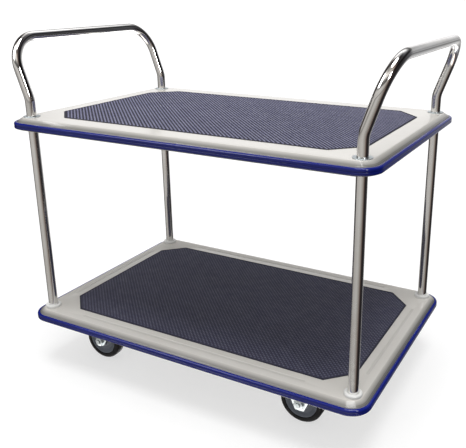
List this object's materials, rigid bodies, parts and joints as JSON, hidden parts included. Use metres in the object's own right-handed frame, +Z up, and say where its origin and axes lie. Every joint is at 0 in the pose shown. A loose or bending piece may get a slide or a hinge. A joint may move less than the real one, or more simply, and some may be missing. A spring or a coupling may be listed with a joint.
{
  "type": "platform trolley",
  "caption": "Double-deck platform trolley: pressed steel decks on chromed posts, push bars at both ends, swivel casters at one end and fixed casters at the other.",
  "frame": {"origin": "on the floor, under the middle of the decks", "axes": "+X along the deck towards the fixed casters, +Y across the deck towards the back long side, +Z up"},
  "size_m": [0.9382, 0.58, 0.8271],
  "materials": {
    "deck_enamel": "satin baked enamel, ivory",
    "ribbed_vinyl": "matt navy-grey vinyl with a fine diagonal rib",
    "bumper_pvc": "glossy dark blue PVC",
    "chromed_tube": "polished chrome",
    "white_plastic": "satin moulded plastic",
    "cream_plastic": "satin moulded plastic",
    "wheel_centre": "satin grey moulded polymer",
    "tyre_rubber": "matt black rubber",
    "bearing_sleeve": "natural nylon",
    "ball_steel": "polished",
    "zinc_steel": "bright zinc plate"
  },
  "bodies": {
    "frame": {"base_bolts": "zinc_steel", "base_washers": "zinc_steel", "caster_bolts": "zinc_steel", "caster_nuts": "zinc_steel", "fixed_axle_back": "zinc_steel", "fixed_axle_front": "zinc_steel", "fixed_bracket_back": "zinc_steel", "fixed_bracket_front": "zinc_steel", "fixed_nuts": "zinc_steel", "handle_left": "chromed_tube", "handle_right": "chromed_tube", "handle_washers": "zinc_steel", "joint_studs": "zinc_steel", "kingpin_back": "zinc_steel", "kingpin_front": "zinc_steel", "lower_bumper": "bumper_pvc", "lower_channel_left": "deck_enamel", "lower_channel_right": "deck_enamel", "lower_deck": "deck_enamel", "lower_mat": "ribbed_vinyl", "post_back_left": "chromed_tube", "post_back_right": "chromed_tube", "post_bush_back_left": "cream_plastic", "post_bush_back_right": "cream_plastic", "post_bush_front_left": "cream_plastic", "post_bush_front_right": "cream_plastic", "post_collar_back_left": "white_plastic", "post_collar_back_right": "white_plastic", "post_collar_front_left": "white_plastic", "post_collar_front_right": "white_plastic", "post_front_left": "chromed_tube", "post_front_right": "chromed_tube", "swivel_plate_back": "zinc_steel", "swivel_plate_front": "zinc_steel", "tube_plugs": "zinc_steel", "upper_bumper": "bumper_pvc", "upper_channel_left": "deck_enamel", "upper_channel_right": "deck_enamel", "upper_deck": "deck_enamel", "upper_mat": "ribbed_vinyl"},
    "swivel_front": {"swivel_fork_front": "zinc_steel", "swivel_axle_front": "zinc_steel", "swivel_nut_front": "zinc_steel", "race_balls_front": "ball_steel"},
    "swivel_wheel_front": {"swivel_rim_front": "wheel_centre", "swivel_tyre_front": "tyre_rubber", "swivel_bearing_front": "bearing_sleeve"},
    "fixed_wheel_front": {"fixed_rim_front": "wheel_centre", "fixed_tyre_front": "tyre_rubber", "fixed_bearing_front": "bearing_sleeve"},
    "swivel_back": {"swivel_fork_back": "zinc_steel", "swivel_axle_back": "zinc_steel", "swivel_nut_back": "zinc_steel", "race_balls_back": "ball_steel"},
    "swivel_wheel_back": {"swivel_rim_back": "wheel_centre", "swivel_tyre_back": "tyre_rubber", "swivel_bearing_back": "bearing_sleeve"},
    "fixed_wheel_back": {"fixed_rim_back": "wheel_centre", "fixed_tyre_back": "tyre_rubber", "fixed_bearing_back": "bearing_sleeve"}
  },
  "joints": [
    {"name": "swivel_front_turn", "type": "hinge", "parent": "frame", "child": "swivel_front", "pos_m": [-0.27, -0.182, 0.107], "axis": [0, 0, 1], "continuous": true},
    {"name": "swivel_wheel_front_roll", "type": "hinge", "parent": "swivel_front", "child": "swivel_wheel_front", "pos_m": [-0.303, -0.182, 0.052], "axis": [0, 1, 0], "continuous": true},
    {"name": "fixed_wheel_front_roll", "type": "hinge", "parent": "frame", "child": "fixed_wheel_front", "pos_m": [0.27, -0.182, 0.052], "axis": [0, 1, 0], "continuous": true},
    {"name": "swivel_back_turn", "type": "hinge", "parent": "frame", "child": "swivel_back", "pos_m": [-0.27, 0.182, 0.107], "axis": [0, 0, 1], "continuous": true},
    {"name": "swivel_wheel_back_roll", "type": "hinge", "parent": "swivel_back", "child": "swivel_wheel_back", "pos_m": [-0.303, 0.182, 0.052], "axis": [0, 1, 0], "continuous": true},
    {"name": "fixed_wheel_back_roll", "type": "hinge", "parent": "frame", "child": "fixed_wheel_back", "pos_m": [0.27, 0.182, 0.052], "axis": [0, 1, 0], "continuous": true}
  ]
}
